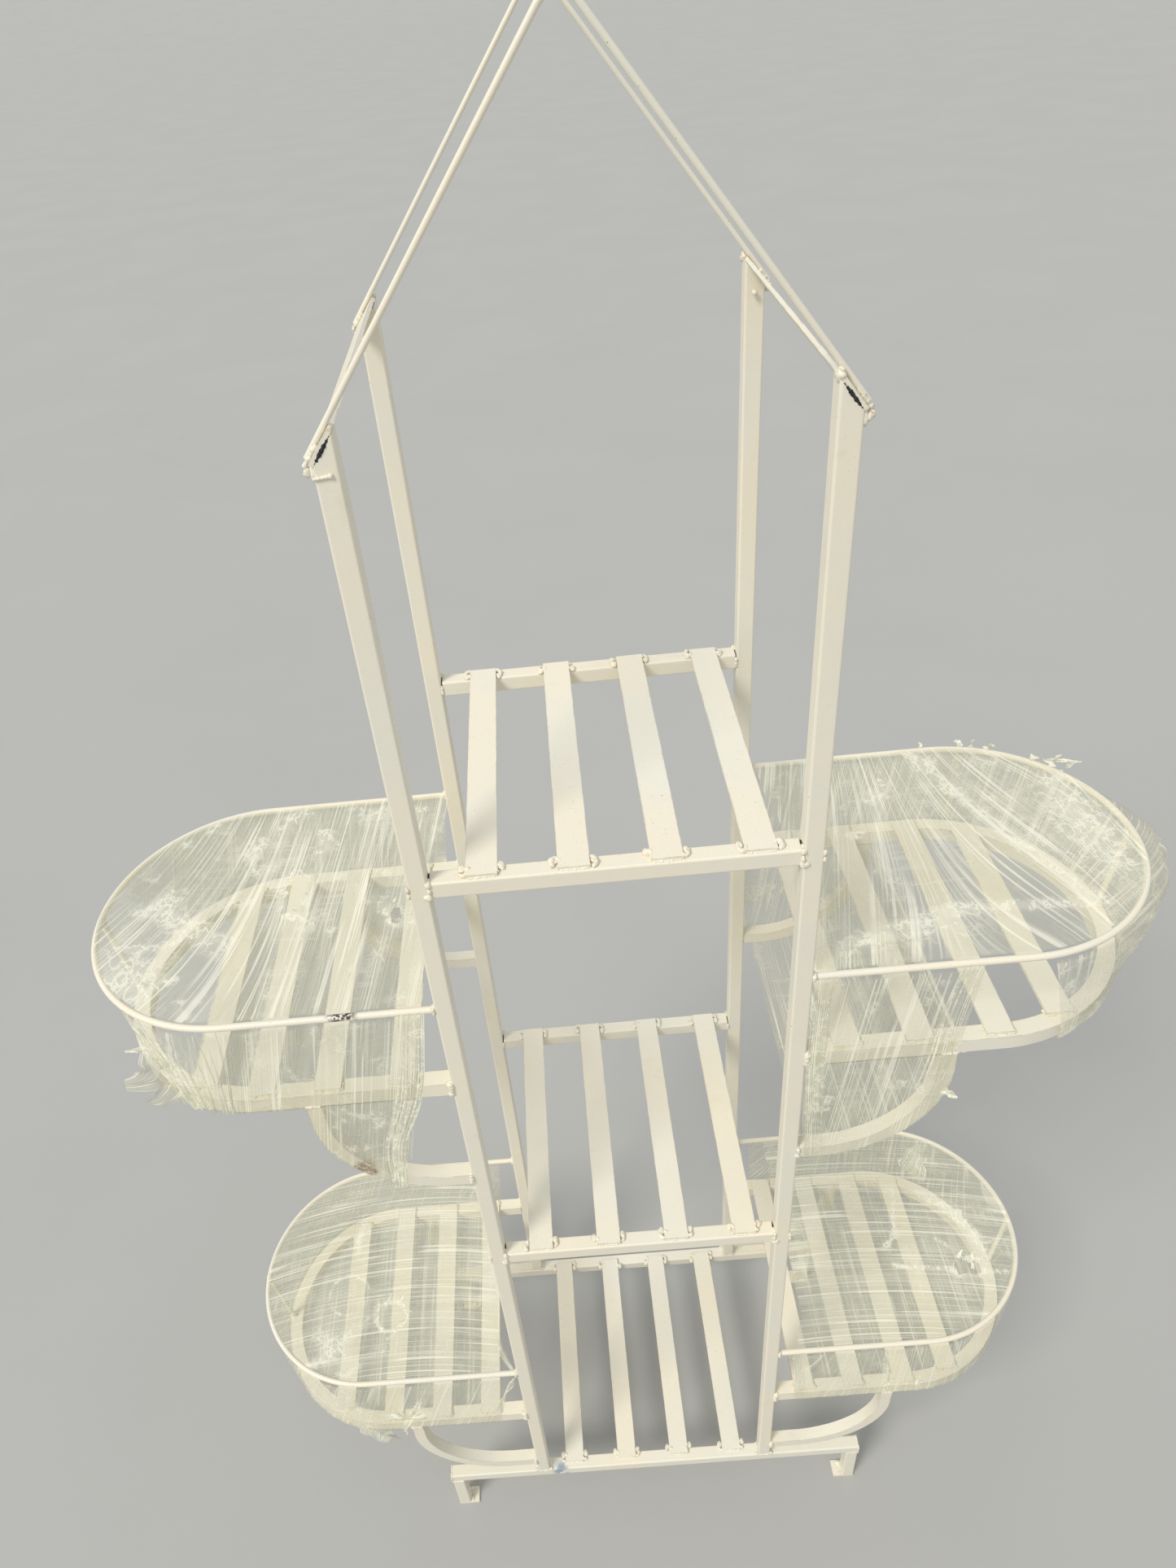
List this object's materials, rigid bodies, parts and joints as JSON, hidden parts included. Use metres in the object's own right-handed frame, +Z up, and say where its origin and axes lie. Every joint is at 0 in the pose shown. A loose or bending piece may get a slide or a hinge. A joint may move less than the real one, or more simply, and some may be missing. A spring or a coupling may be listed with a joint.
{
  "type": "plant_trolley",
  "caption": "Welded plant stand in cream-painted square tube, with slatted shelves, round-ended side baskets wrapped in clear film and a wire roof frame",
  "frame": {"origin": "on the ground, under the middle of the stand", "axes": "+X right, along the base bars; +Y back; +Z up"},
  "size_m": [0.994, 0.302, 1.7627],
  "materials": {
    "paint": "satin",
    "film": "gloss"
  },
  "bodies": {
    "root": {"upright_front_left": "paint", "upright_front_right": "paint", "upright_back_left": "paint", "upright_back_right": "paint", "base_bar_front": "paint", "base_bar_back": "paint", "leg_front_left": "paint", "leg_front_right": "paint", "leg_back_left": "paint", "leg_back_right": "paint", "foot_pads": "paint", "mid_bar_front": "paint", "mid_bar_back": "paint", "top_bar_front": "paint", "top_bar_back": "paint", "base_slat_1": "paint", "base_slat_2": "paint", "base_slat_3": "paint", "base_slat_4": "paint", "mid_slat_1": "paint", "mid_slat_2": "paint", "mid_slat_3": "paint", "mid_slat_4": "paint", "top_slat_1": "paint", "top_slat_2": "paint", "top_slat_3": "paint", "top_slat_4": "paint", "floor_frame_upper_left": "paint", "floor_frame_upper_right": "paint", "floor_frame_lower_left": "paint", "floor_frame_lower_right": "paint", "floor_slats_upper_left": "paint", "floor_slats_upper_right": "paint", "floor_slats_lower_left": "paint", "floor_slats_lower_right": "paint", "rim_upper_left": "paint", "rim_upper_right": "paint", "rim_lower_left": "paint", "rim_lower_right": "paint", "rim_post_upper_left": "paint", "rim_post_upper_right": "paint", "rim_post_lower_left": "paint", "rim_post_lower_right": "paint", "bracket_upper_left_front": "paint", "bracket_upper_left_back": "paint", "bracket_upper_right_front": "paint", "bracket_upper_right_back": "paint", "bracket_lower_left_front": "paint", "bracket_lower_left_back": "paint", "bracket_lower_right_front": "paint", "bracket_lower_right_back": "paint", "eave_strap_left": "paint", "eave_strap_right": "paint", "roof_rod_front": "paint", "roof_rod_back": "paint", "ridge_rod": "paint", "film_upper_left": "film", "film_upper_right": "film", "film_lower_left": "film", "film_lower_right": "film"}
  },
  "joints": []
}
